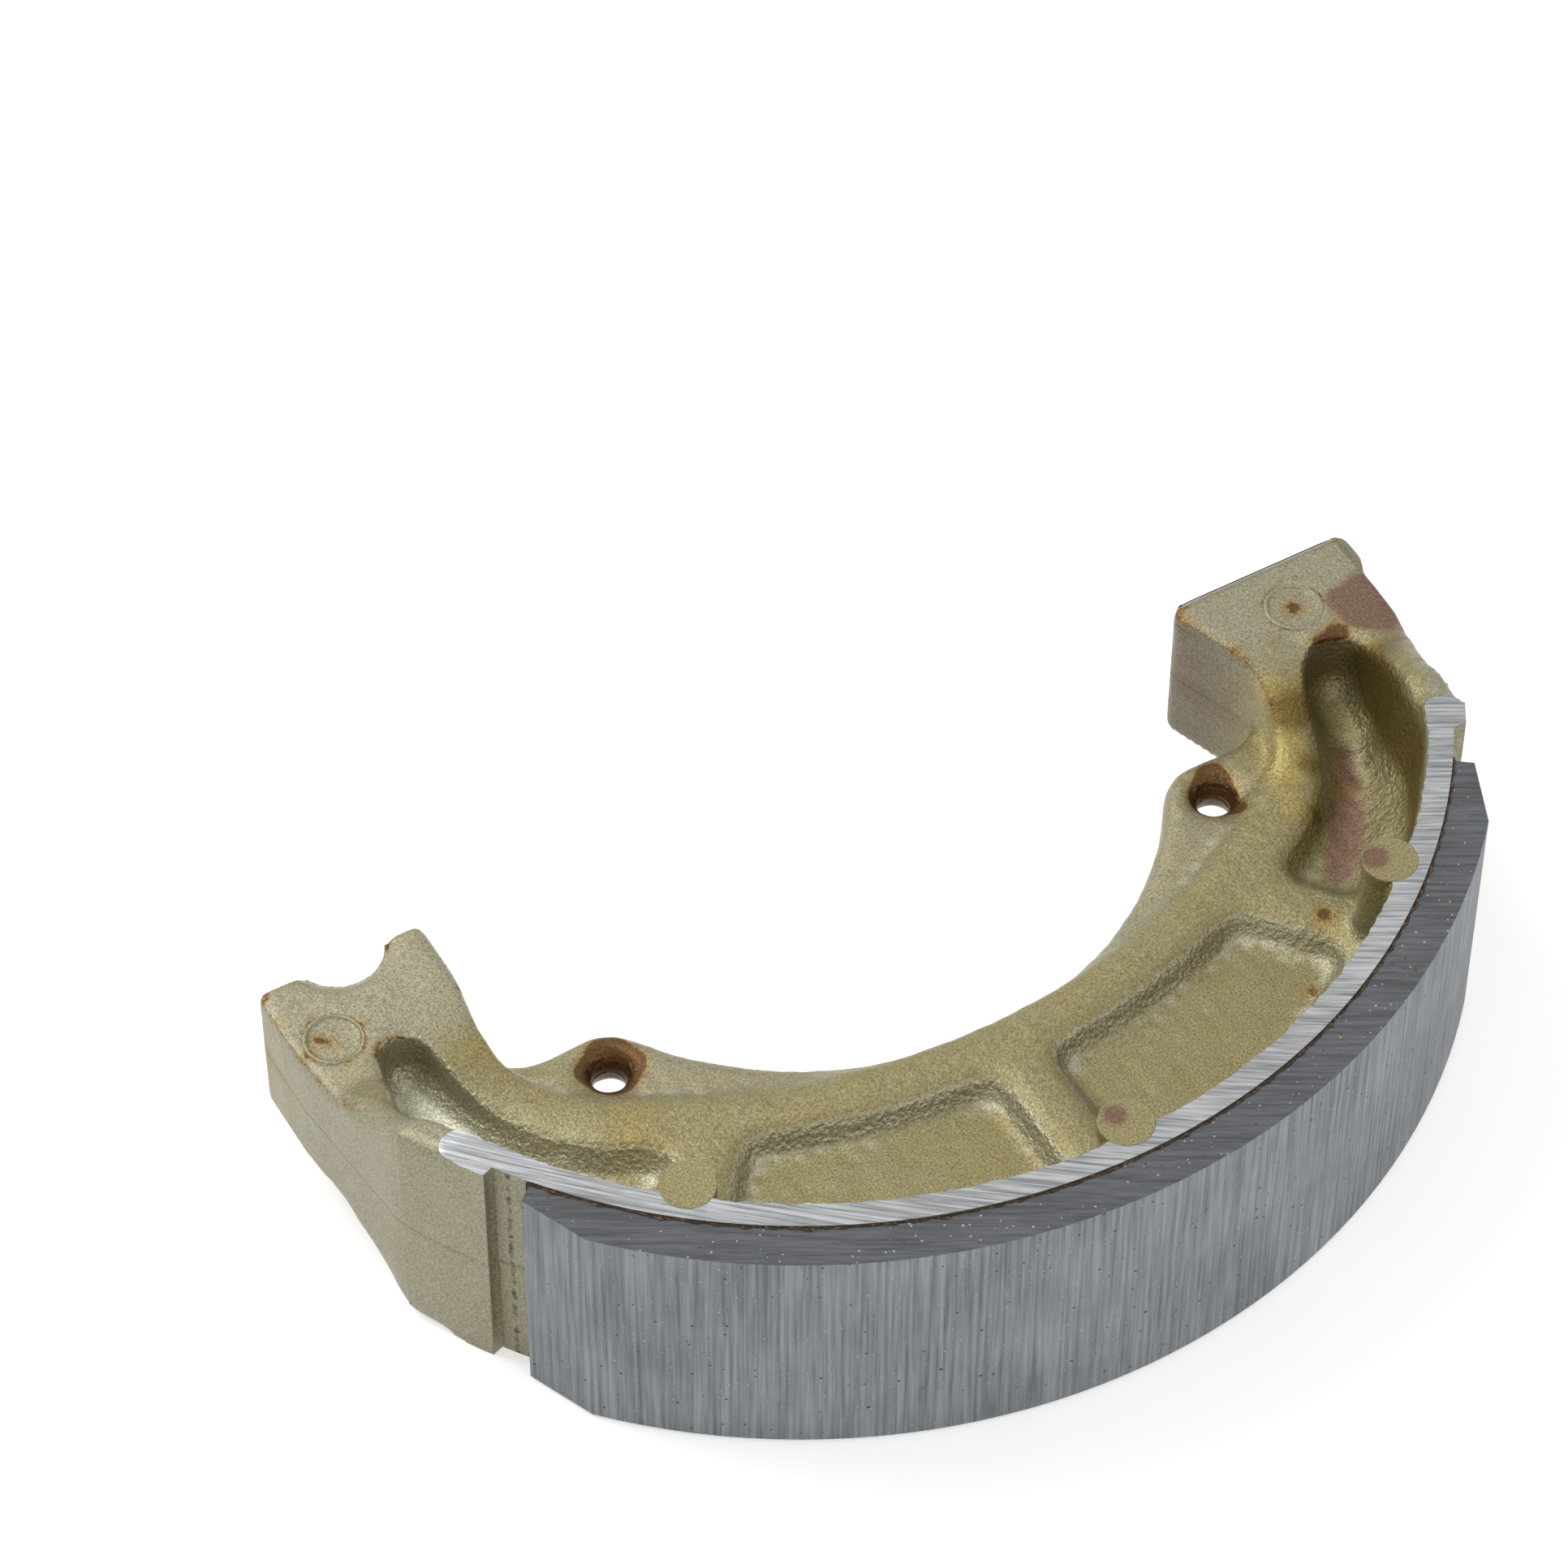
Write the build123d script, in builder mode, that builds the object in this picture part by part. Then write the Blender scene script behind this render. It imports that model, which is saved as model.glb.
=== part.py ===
from build123d import *
import os
from math import cos, hypot, radians, sin, sqrt

os.makedirs("parts", exist_ok=True)

# Drum brake shoe: a die cast body with a bonded lining.
# Millimetres and degrees. The origin is on the axis of the anchor pin, half way up its seat.
# The drum axis is parallel to Z, the cam end is on the +X side and the lining faces -Y.
# Places on the casting are measured from the drum axis, and angles are counted around it from +X.

# Drum, lining and rim: every radius follows from the radius that the lining is ground to
lining_radius = 90.0
lining_thickness = 5.35
film_thickness = 0.25
rim_wall = 4.3
strip_width = 3.35
rim_width = 37.9
strip_start = -150.9
strip_end = -30.2
rim_space_start = -157.0
rim_space_end = -24.0

# Raised pads that carry on the rim past each end of the lining
pad_rise = 1.6
pivot_pad_end = -146.6
cam_pad_start = -33.1

# Lining ends, and the bond that is squeezed out a little past them
film_half_arc = 53.3
lining_half_arc = 52.9
taper_half_arc = 46.8
taper_drop = 2.8
lining_inset = 0.5

rim_outer_radius = lining_radius - lining_thickness - film_thickness
bond_radius = rim_outer_radius + film_thickness
rim_inner_radius = rim_outer_radius - rim_wall
rim_edge_radius = rim_outer_radius - strip_width
pad_radius = rim_outer_radius + pad_rise

# The plan below is drawn for a 90 mm lining radius, and grows or shrinks with it
growth = lining_radius / 90

# Heights above the middle plane
web_half = 1.8
crest_half = 5.3
ear_half = 3.6
fork_half = 10.35
cam_half = 12.25
cam_milled_half = 10.9
column_half = 18.5
ramp_top_half = 18.65

# Bowed inner flange: its arcs are flatter than the drum's, about an axis of their own
bow_height = 41.0 * growth
bow_inner_radius = 88.4 * growth
bow_nose = 3.0
bow_depth = 8.8
bow_half_arc = 48.0

# Ribs, each with an ejector column at the rim, and pockets between them
rib_angles = (-130.0, -90.0, -50.0)
rib_base_half = 4.1
column_radius = 3.6
column_inset = 0.7
ledge_width = 3.7
floor_round = 1.7
crest_bevel = 1.5
end_floor_bevel = 2.3
pocket_corner = 3.2
ledge_bulge_angle = 15.0

# Middle pockets: they reach this far from the drum axis to each side, and no edge of theirs is longer
pocket_reach = 46.0 * growth

# Crescent web inside the flange, with an ear for a return spring near each end
ear_inner_radius = 47.8 * growth
ear_x = 45.3 * growth
ear_y = -30.0 * growth
ear_edge = 1.4
ear_bend = 7.0
spring_hole_radius = 2.2
spring_funnel_radius = 4.0
spring_land_half = 1.2

# Arms: level at fork and cam, then one ramp up to the edge of the rim
ramp_foot_y = -21.0 * growth
ramp_top_y = -36.0 * growth
slope_end_y = -35.0 * growth
fork_slope_y = -12.0 * growth
cam_slope_y = -15.0 * growth
arm_corner = 1.5
waist_corner = 12.0
cam_waist_corner = 6.0
foot_corner = 6.0
cam_foot_corner = 8.0

# Fork with its half round seat for the anchor pin
fork_face_y = -1.8
seat_radius = 6.0
seat_chamfer = 1.3
fork_outer_x = -80.5 * growth
fork_inner_x = -57.0 * growth

# Cam block, milled on its lower side
cam_face_y = -4.6
cam_inner_x = 53.0 * growth
cam_middle_x = 64.0 * growth
cam_outer_x = 81.0 * growth
cam_edge = 2.4
cam_milled_y = -16.0
milled_chamfer = 1.3

# Shallow round ejector marks on the two ends
mark_radius = 3.7
mark_depth = 0.25
fork_mark = (-75.2 * growth, -13.3)
cam_mark = (67.6 * growth, -13.9)

# How far a cutter passes the face that it starts from
overlap = 0.1

anchor_to_drum = 67.9 * growth
bow_outer_radius = bow_inner_radius + bow_depth
bow_crest_radius = bow_inner_radius + bow_nose
ledge_radius = rim_inner_radius - ledge_width
column_centre_radius = rim_inner_radius - column_inset
ear_radius = hypot(ear_x, ear_y) - ear_inner_radius
ramp_slope = (ramp_top_half - fork_half) / (ramp_foot_y - ramp_top_y)
cam_ramp_foot_y = ramp_foot_y - (cam_half - fork_half) / ramp_slope
far = 2 * lining_radius
drum = Plane(origin=(anchor_to_drum, 0, 0))
drum_side = Plane(origin=drum.origin, x_dir=(0, 1, 0), z_dir=(1, 0, 0))
drum_axis = Axis(drum.origin, (0, 0, 1))
bow_axis = Axis((anchor_to_drum, bow_height, 0), (0, 0, 1))


def polar(radius, angle):
    """Point at a radius and an angle around the drum axis."""
    return radius * cos(radians(angle)), radius * sin(radians(angle))


def grown(*points):
    """Plan points, moved out or in with the drum."""
    return [(x * growth, y * growth) for x, y in points]


# Corners of the arms that both the arms and their pockets use
fork_waist, fork_foot, fork_tip = grown((-58.1, -19.0), (-57.3, -25.0), (-71.9, -19.8))
cam_waist, cam_foot, cam_tip = grown((57.6, -20.0), (57.3, -25.0), (72.0, -25.5))
fork_wall_end = polar(rim_inner_radius + overlap, rim_space_start)
cam_wall_end = polar(rim_inner_radius + overlap, rim_space_end)


def beside_rib(angle, offset, distance):
    """Point at a distance out along a rib, moved sideways from its middle line."""
    out = polar(distance, angle)
    side = polar(offset, angle + 90)
    return out[0] + side[0], out[1] + side[1]


def rib_meets_bow(angle, offset):
    """Point where the side of a rib meets the outer wall of the bowed flange."""
    side = polar(offset, angle + 90)
    along = polar(1, angle)
    half_b = along[1] * (side[1] - bow_height) + along[0] * side[0]
    rest = side[0] ** 2 + (side[1] - bow_height) ** 2 - bow_outer_radius ** 2
    return beside_rib(angle, offset, sqrt(half_b ** 2 - rest) - half_b)


def turned_plane(centre, angle):
    """Plane through a vertical axis: its X points outward at the angle, its Y is Z."""
    a = radians(angle)
    return Plane(origin=centre, x_dir=(cos(a), sin(a), 0), z_dir=(sin(a), -cos(a), 0))


def round_corners(sketch, places, radius):
    """Rounds the sketch corners that lie nearest to the places."""
    for place in places:
        fillet(sketch.vertices().sort_by_distance(place)[0], radius)


def outer_arm(outline, corners, face_y, low, ramp_y, edge):
    """Outer side of an arm: a plan outline inside the pad's circle, level, then ramped up to the rim."""
    with BuildPart() as block:
        with BuildSketch(drum.offset(-rim_width / 2)) as plan:
            with BuildLine():
                Polyline(*outline, close=True)
            make_face()
            round_corners(plan, corners, arm_corner)
            Circle(pad_radius, mode=Mode.INTERSECT)
        extrude(amount=rim_width)
        with BuildSketch(drum_side.offset(-far)) as side:
            with BuildLine():
                Polyline(
                    (face_y, 0),
                    (face_y, low),
                    (ramp_y, low),
                    (ramp_top_y, ramp_top_half),
                    (-far, ramp_top_half),
                    (-far, 0),
                    close=True,
                )
            make_face()
            round_corners(side, [(face_y, low)], edge)
            mirror(about=Plane.XZ)
        extrude(amount=2 * far, mode=Mode.INTERSECT)
    return block.part


def inner_arm(outline, corners, face_y, low, slope_y, edge):
    """Inner side of an arm: level, then one long S-shaped slope down into the flange."""
    middle = ((slope_y + slope_end_y) / 2, (low + crest_half) / 2)
    with BuildPart() as block:
        with BuildSketch(drum.offset(-rim_width / 2)) as plan:
            with BuildLine():
                Polyline(*outline, close=True)
            make_face()
            for place, radius in corners:
                round_corners(plan, [place], radius)
        extrude(amount=rim_width)
        with BuildSketch(drum_side.offset(-far)) as side:
            with BuildLine():
                Polyline((face_y, 0), (face_y, low), (slope_y, low))
                fall = TangentArc((slope_y, low), middle, tangent=(-1, 0))
                TangentArc(middle, (slope_end_y, crest_half), tangent=fall % 1)
                Polyline((slope_end_y, crest_half), (-far, crest_half), (-far, 0), (face_y, 0))
            make_face()
            round_corners(side, [(face_y, low)], edge)
            mirror(about=Plane.XZ)
        extrude(amount=2 * far, mode=Mode.INTERSECT)
    return block.part


def end_pocket(side, angle, inner, wall, tip_outer, ledge_top):
    """Pocket between an end rib and its arm, for one face, as a solid that is cut away."""
    rib_in = rib_meets_bow(angle, side * rib_base_half)
    rib_out = beside_rib(angle, side * rib_base_half, sqrt(ledge_radius ** 2 - rib_base_half ** 2))
    with BuildPart() as tool:
        with BuildSketch(drum.offset(web_half)) as floor_plan:
            with BuildLine():
                flank = ThreePointArc(rib_in, wall, inner)
                TangentArc(inner, tip_outer, tangent=flank % 1)
                Line(tip_outer, ledge_top)
                ThreePointArc(ledge_top, polar(ledge_radius, angle + side * ledge_bulge_angle), rib_out)
                Line(rib_out, rib_in)
            make_face()
            round_corners(floor_plan, (rib_in, rib_out), pocket_corner)
        extrude(amount=rim_width / 2)
        chamfer(tool.faces().sort_by(Axis.Z)[0].edges(), end_floor_bevel)
    return tool.part


# Rim with the draft of its inner wall
with BuildPart() as rim:
    with BuildSketch(turned_plane(drum.origin, strip_start)):
        with BuildLine():
            Polyline(
                (rim_inner_radius, 0),
                (rim_inner_radius, crest_half),
                (rim_edge_radius, rim_width / 2),
                (rim_outer_radius, rim_width / 2),
                (rim_outer_radius, 0),
                close=True,
            )
        make_face()
        mirror(about=Plane.XZ)
    revolve(axis=drum_axis, revolution_arc=strip_end - strip_start)

# Space inside the rim, above and below the crests, carried on into the arms
with BuildPart() as rim_space:
    with BuildSketch(turned_plane(drum.origin, rim_space_start)):
        with BuildLine():
            Polyline(
                (ear_inner_radius, crest_half),
                (rim_inner_radius, crest_half),
                (rim_edge_radius, rim_width / 2),
                (ear_inner_radius, rim_width / 2),
                close=True,
            )
        make_face()
        mirror(about=Plane.XZ)
    revolve(axis=drum_axis, revolution_arc=rim_space_end - rim_space_start)

# Middle pockets, both pairs, above and below
with BuildPart() as middle_pockets:
    with BuildSketch(drum.offset(web_half)) as middle_plan:
        Circle(ledge_radius)
        with Locations((0, bow_height)):
            Circle(bow_outer_radius, mode=Mode.SUBTRACT)
        with BuildLine():
            Polyline(
                beside_rib(rib_angles[0], rib_base_half, ear_inner_radius),
                beside_rib(rib_angles[0], rib_base_half, lining_radius),
                beside_rib(rib_angles[1], -rib_base_half, lining_radius),
                beside_rib(rib_angles[1], -rib_base_half, ear_inner_radius),
                close=True,
            )
        make_face(mode=Mode.INTERSECT)
        fillet(middle_plan.vertices(), pocket_corner)
    extrude(amount=rim_width / 2)
    fillet(middle_pockets.faces().sort_by(Axis.Z)[0].edges(), floor_round)
    mirror(about=drum_side)
    mirror(about=Plane.XY)

# Bowed flange with a bevelled inner side, and the plate that the pockets are sunk into
with BuildPart() as crest_plate:
    with BuildSketch(turned_plane(bow_axis.position, -90 - bow_half_arc)):
        with BuildLine():
            Polyline(
                (bow_inner_radius, 0),
                (bow_inner_radius, web_half),
                (bow_inner_radius + bow_nose / 3, ear_half + bow_nose / 3),
                (bow_crest_radius, crest_half),
                (2 * bow_inner_radius, crest_half),
                (2 * bow_inner_radius, 0),
                close=True,
            )
        make_face()
        mirror(about=Plane.XZ)
    revolve(axis=bow_axis, revolution_arc=2 * bow_half_arc)
    with BuildSketch(drum.offset(-rim_width / 2)):
        Circle(rim_inner_radius + rim_wall / 2)
    extrude(amount=rim_width, mode=Mode.INTERSECT)

# Crescent web and spring ears, with their edges rounded by the die
with BuildPart() as ear_web:
    with BuildSketch(drum.offset(-ear_half)) as ear_plan:
        Circle(hypot(ear_x, ear_y) + ear_radius)
        Circle(ear_inner_radius, mode=Mode.SUBTRACT)
        with BuildLine():
            Polyline((0, 0), (-2 * ear_x, 2 * ear_y), (2 * ear_x, 2 * ear_y), close=True)
        make_face(mode=Mode.INTERSECT)
        with Locations((-ear_x, ear_y), (ear_x, ear_y)):
            Circle(ear_radius)
        with BuildLine():
            Polyline(
                (-ear_x, ear_y + ear_radius),
                *grown((-58.4, -24.2), (-58.4, -12.0), (-62.0, -12.0), (-62.0, -28.0), (-50.0, -40.0)),
                (-ear_x, ear_y),
                close=True,
            )
        make_face()
        mirror(about=Plane.YZ)
        round_corners(ear_plan, grown((-58.4, -24.2), (58.4, -24.2)), ear_bend)
    extrude(amount=2 * ear_half)
    outer_edges = ear_web.edges().filter_by(lambda edge: abs(edge.center().Z) > ear_half / 2)
    chamfer(outer_edges.filter_by(lambda edge: edge.center().Y > ear_y or edge.length > ear_x * 2), ear_edge)
    with BuildSketch(drum.offset(-rim_width / 2)):
        with Locations((0, bow_height)):
            Circle(bow_crest_radius)
    extrude(amount=rim_width, mode=Mode.INTERSECT)

pivot_outer = outer_arm(
    [
        (-anchor_to_drum, fork_face_y),
        (fork_outer_x, fork_face_y),
        *grown((-80.5, -14.0), (-78.3, -35.4), (-82.0, -45.0)),
        polar(lining_radius, pivot_pad_end),
        polar(rim_inner_radius, pivot_pad_end),
        *grown((-70.0, -33.0), (-68.5, -22.0)),
    ],
    [(fork_outer_x, fork_face_y)],
    fork_face_y,
    fork_half,
    ramp_foot_y,
    arm_corner / 2,
)
pivot_inner = inner_arm(
    [
        (-anchor_to_drum, fork_face_y),
        (fork_inner_x, fork_face_y),
        *grown((-57.0, -11.0)),
        fork_waist,
        fork_foot,
        *grown((-52.0, -32.5), (-50.0, -36.5), (-56.0, -41.0), (-64.0, -32.0), (-68.5, -24.0)),
    ],
    [((fork_inner_x, fork_face_y), arm_corner), (fork_waist, waist_corner), (fork_foot, foot_corner)],
    fork_face_y,
    fork_half,
    fork_slope_y,
    arm_corner / 2,
)
cam_outer = outer_arm(
    [
        (cam_middle_x, cam_face_y),
        (cam_outer_x, cam_face_y),
        *grown((81.0, -10.2), (79.4, -13.2), (79.2, -21.0), (78.2, -28.0), (74.4, -41.0), (74.4, -46.0)),
        polar(lining_radius, cam_pad_start),
        polar(rim_inner_radius, cam_pad_start),
        *grown((69.0, -36.0), (66.5, -25.0)),
    ],
    [(cam_outer_x, cam_face_y), *grown((81.0, -10.2), (79.4, -13.2))],
    cam_face_y,
    cam_half,
    cam_ramp_foot_y,
    cam_edge,
)
cam_inner = inner_arm(
    [
        (cam_middle_x, cam_face_y),
        (cam_inner_x + cam_edge, cam_face_y),
        (cam_inner_x, cam_face_y - cam_edge),
        cam_waist,
        cam_foot,
        *grown((53.0, -33.0), (50.0, -36.5), (56.0, -41.0), (64.0, -32.0), (66.5, -25.0)),
    ],
    [
        ((cam_inner_x + cam_edge, cam_face_y), arm_corner),
        ((cam_inner_x, cam_face_y - cam_edge), arm_corner),
        (cam_waist, cam_waist_corner),
        (cam_foot, cam_foot_corner),
    ],
    cam_face_y,
    cam_half,
    cam_slope_y,
    cam_edge,
)
pivot_wall = grown((-65.1, -19.8), (-57.8, -36.6))
pivot_pocket = end_pocket(-1, rib_angles[0], *pivot_wall, fork_tip, fork_wall_end)
cam_wall = grown((63.4, -24.0), (57.4, -36.8))
cam_pocket = end_pocket(1, rib_angles[2], *cam_wall, cam_tip, cam_wall_end)

with BuildPart() as shoe_casting:
    add(pivot_outer)
    add(cam_outer)
    add(rim_space.part, mode=Mode.SUBTRACT)
    with BuildSketch(drum.offset(-rim_width / 2)):
        with BuildLine():
            Polyline(
                fork_tip,
                fork_wall_end,
                *grown((-66.0, -38.0), (-66.0, -21.0)),
                close=True,
            )
        make_face()
        with BuildLine():
            Polyline(
                cam_tip,
                cam_wall_end,
                *grown((66.0, -38.0), (66.0, -25.0)),
                close=True,
            )
        make_face()
    extrude(amount=rim_width, mode=Mode.SUBTRACT)
    add(pivot_inner)
    add(cam_inner)
    add(crest_plate.part)
    add(middle_pockets.part, mode=Mode.SUBTRACT)
    crests = shoe_casting.edges().filter_by(lambda edge: abs(abs(edge.center().Z) - crest_half) < overlap)
    crests = crests.filter_by(lambda edge: abs(edge.center().X - anchor_to_drum) < pocket_reach)
    crests = crests.filter_by(lambda edge: edge.length < pocket_reach and edge.center().Y < -ear_inner_radius)
    chamfer(crests, crest_bevel)
    for cutter in (pivot_pocket, cam_pocket):
        add(cutter, mode=Mode.SUBTRACT)
        add(mirror(cutter, about=Plane.XY, mode=Mode.PRIVATE), mode=Mode.SUBTRACT)
    add(ear_web.part)
    add(rim.part)
    for pad_start, pad_end in ((strip_start, pivot_pad_end), (cam_pad_start, strip_end)):
        with BuildSketch(drum.offset(-rim_width / 2)):
            Circle(pad_radius)
            Circle(rim_edge_radius + strip_width / 2, mode=Mode.SUBTRACT)
            with BuildLine():
                Polyline((0, 0), polar(far, pad_start), polar(far, pad_end), (0, 0))
            make_face(mode=Mode.INTERSECT)
        extrude(amount=rim_width)
    with BuildSketch(drum.offset(-column_half)):
        with Locations(*[polar(column_centre_radius, angle) for angle in rib_angles]):
            Circle(column_radius)
    extrude(amount=2 * column_half)
    with BuildSketch(Plane.XZ):
        with BuildLine():
            Polyline(
                (0, 0),
                (seat_radius, 0),
                (seat_radius, fork_half - seat_chamfer),
                (seat_radius + 2 * seat_chamfer, fork_half + seat_chamfer),
                (0, fork_half + seat_chamfer),
                close=True,
            )
        make_face()
        mirror(about=Plane.XZ)
    revolve(axis=Axis.Z, mode=Mode.SUBTRACT)
    for hole_x in (-ear_x, ear_x):
        centre = (hole_x + anchor_to_drum, ear_y, 0)
        with BuildSketch(Plane(origin=centre, x_dir=(1, 0, 0), z_dir=(0, -1, 0))):
            with BuildLine():
                Polyline(
                    (0, 0),
                    (spring_hole_radius, 0),
                    (spring_hole_radius, spring_land_half),
                    (spring_funnel_radius, ear_half),
                    (spring_funnel_radius, crest_half),
                    (0, crest_half),
                    close=True,
                )
            make_face()
            mirror(about=Plane.XZ)
        revolve(axis=Axis(centre, (0, 0, 1)), mode=Mode.SUBTRACT)
    for mark, height in ((fork_mark, fork_half), (cam_mark, cam_half)):
        for level in (height - mark_depth, -height):
            with BuildSketch(drum.offset(level)):
                with Locations(mark):
                    Circle(mark_radius)
            extrude(amount=mark_depth, mode=Mode.SUBTRACT)
    with BuildSketch(drum_side):
        with BuildLine():
            Polyline(
                (0, -rim_width / 2),
                (0, milled_chamfer - cam_milled_half),
                (cam_face_y, milled_chamfer - cam_milled_half),
                (cam_face_y - milled_chamfer, -cam_milled_half),
                (cam_milled_y, -cam_milled_half),
                (cam_milled_y, -rim_width / 2),
                close=True,
            )
        make_face()
    extrude(amount=far, mode=Mode.SUBTRACT)

# Cured adhesive, squeezed out a little past the ends of the lining
with BuildPart() as adhesive_film:
    with BuildSketch(drum.offset(-rim_width / 2 + lining_inset)):
        with BuildLine():
            CenterArc((0, 0), rim_outer_radius, -90 - film_half_arc, 2 * film_half_arc)
            Line(polar(rim_outer_radius, -90 + film_half_arc), polar(bond_radius, -90 + film_half_arc))
            CenterArc((0, 0), bond_radius, -90 - film_half_arc, 2 * film_half_arc)
            Line(polar(bond_radius, -90 - film_half_arc), polar(rim_outer_radius, -90 - film_half_arc))
        make_face()
    extrude(amount=rim_width - 2 * lining_inset)

# Lining, with a flat taper at each end
with BuildPart() as friction_lining:
    with BuildSketch(drum.offset(-rim_width / 2 + lining_inset)):
        with BuildLine():
            CenterArc((0, 0), bond_radius, -90 - lining_half_arc, 2 * lining_half_arc)
            Polyline(
                polar(bond_radius, -90 + lining_half_arc),
                polar(lining_radius - taper_drop, -90 + lining_half_arc),
                polar(lining_radius, -90 + taper_half_arc),
            )
            CenterArc((0, 0), lining_radius, -90 - taper_half_arc, 2 * taper_half_arc)
            Polyline(
                polar(lining_radius, -90 - taper_half_arc),
                polar(lining_radius - taper_drop, -90 - lining_half_arc),
                polar(bond_radius, -90 - lining_half_arc),
            )
        make_face()
    extrude(amount=rim_width - 2 * lining_inset)

shoe_casting.part.label = "shoe_casting"
adhesive_film.part.label = "adhesive_film"
friction_lining.part.label = "friction_lining"
export_step(shoe_casting.part, "parts/shoe_casting.step")
export_step(adhesive_film.part, "parts/adhesive_film.step")
export_step(friction_lining.part, "parts/friction_lining.step")
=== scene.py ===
import math

import bmesh
import bpy
import numpy as np
from mathutils import Matrix, Vector


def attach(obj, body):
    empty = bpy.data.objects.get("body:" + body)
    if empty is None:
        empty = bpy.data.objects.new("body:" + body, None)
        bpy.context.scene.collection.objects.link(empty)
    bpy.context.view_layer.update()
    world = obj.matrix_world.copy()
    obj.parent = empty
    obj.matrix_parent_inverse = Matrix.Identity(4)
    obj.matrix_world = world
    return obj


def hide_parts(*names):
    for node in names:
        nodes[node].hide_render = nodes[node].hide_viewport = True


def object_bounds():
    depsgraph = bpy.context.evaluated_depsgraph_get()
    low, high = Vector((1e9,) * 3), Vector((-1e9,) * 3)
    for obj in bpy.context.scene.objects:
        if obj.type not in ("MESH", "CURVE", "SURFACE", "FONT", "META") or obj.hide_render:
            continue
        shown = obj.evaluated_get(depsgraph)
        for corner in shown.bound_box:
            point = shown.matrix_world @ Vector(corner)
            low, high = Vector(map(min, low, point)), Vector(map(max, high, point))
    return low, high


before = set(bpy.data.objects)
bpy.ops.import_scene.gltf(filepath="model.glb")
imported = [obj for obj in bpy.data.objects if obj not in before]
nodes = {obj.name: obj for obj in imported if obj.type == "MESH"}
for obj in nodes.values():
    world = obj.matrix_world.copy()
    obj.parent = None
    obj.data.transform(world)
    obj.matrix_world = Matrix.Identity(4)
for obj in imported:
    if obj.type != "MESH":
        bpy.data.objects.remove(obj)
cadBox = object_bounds()
print("frame:", sorted(nodes))


# sRGB hex to the linear colour that a socket takes
def linear(hexColour):
    parts = [int(hexColour[i:i + 2], 16) / 255 for i in (1, 3, 5)]
    return tuple(c / 12.92 if c <= 0.04045 else ((c + 0.055) / 1.055) ** 2.4 for c in parts) + (1.0,)


# one node: settings are its own properties, sockets go by name or number to a value or to another output
def addNode(tree, kind, sockets=None, **settings):
    node = tree.nodes.new("ShaderNode" + kind)
    for name, value in settings.items():
        setattr(node, name, value)
    for key, value in (sockets or {}).items():
        if isinstance(value, bpy.types.NodeSocket):
            tree.links.new(value, node.inputs[key])
        else:
            node.inputs[key].default_value = value
    return node


# an empty material with its shader, and object coordinates in millimetres
def startMaterial(name):
    material = bpy.data.materials.new(name)
    material.use_nodes = True
    tree = material.node_tree
    shader = tree.nodes["Principled BSDF"]
    place = addNode(tree, "TexCoord").outputs["Object"]
    inMm = addNode(tree, "VectorMath", {0: place, 3: 1000.0}, operation="SCALE").outputs[0]
    return material, tree, shader, inMm


# the material takes the place of all that the object had
def dress(node, material):
    node.data.materials.clear()
    node.data.materials.append(material)


# Camera: fitted to the photograph, in the part's own frame
camera = {
    "target": (0.07490, 0.01614, -0.01895),   # where the lens axis meets the table
    "azimuth": -30.07,
    "elevation": 49.70,
    "distance": 0.84114,
    "lens": 142.2,
}
cameraData = bpy.data.cameras.new("camera")
cameraData.lens = camera["lens"]
cameraData.sensor_width = 36
cameraData.clip_start = 0.01
cameraObject = bpy.data.objects.new("camera", cameraData)
bpy.context.scene.collection.objects.link(cameraObject)
turn, tilt = math.radians(camera["azimuth"]), math.radians(camera["elevation"])
back = Vector((math.sin(turn) * math.cos(tilt), -math.cos(turn) * math.cos(tilt), math.sin(tilt)))
cameraObject.location = Vector(camera["target"]) + back * camera["distance"]
cameraObject.rotation_euler = (-back).to_track_quat("-Z", "Y").to_euler()
bpy.context.scene.camera = cameraObject
print("camera placed")

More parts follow.
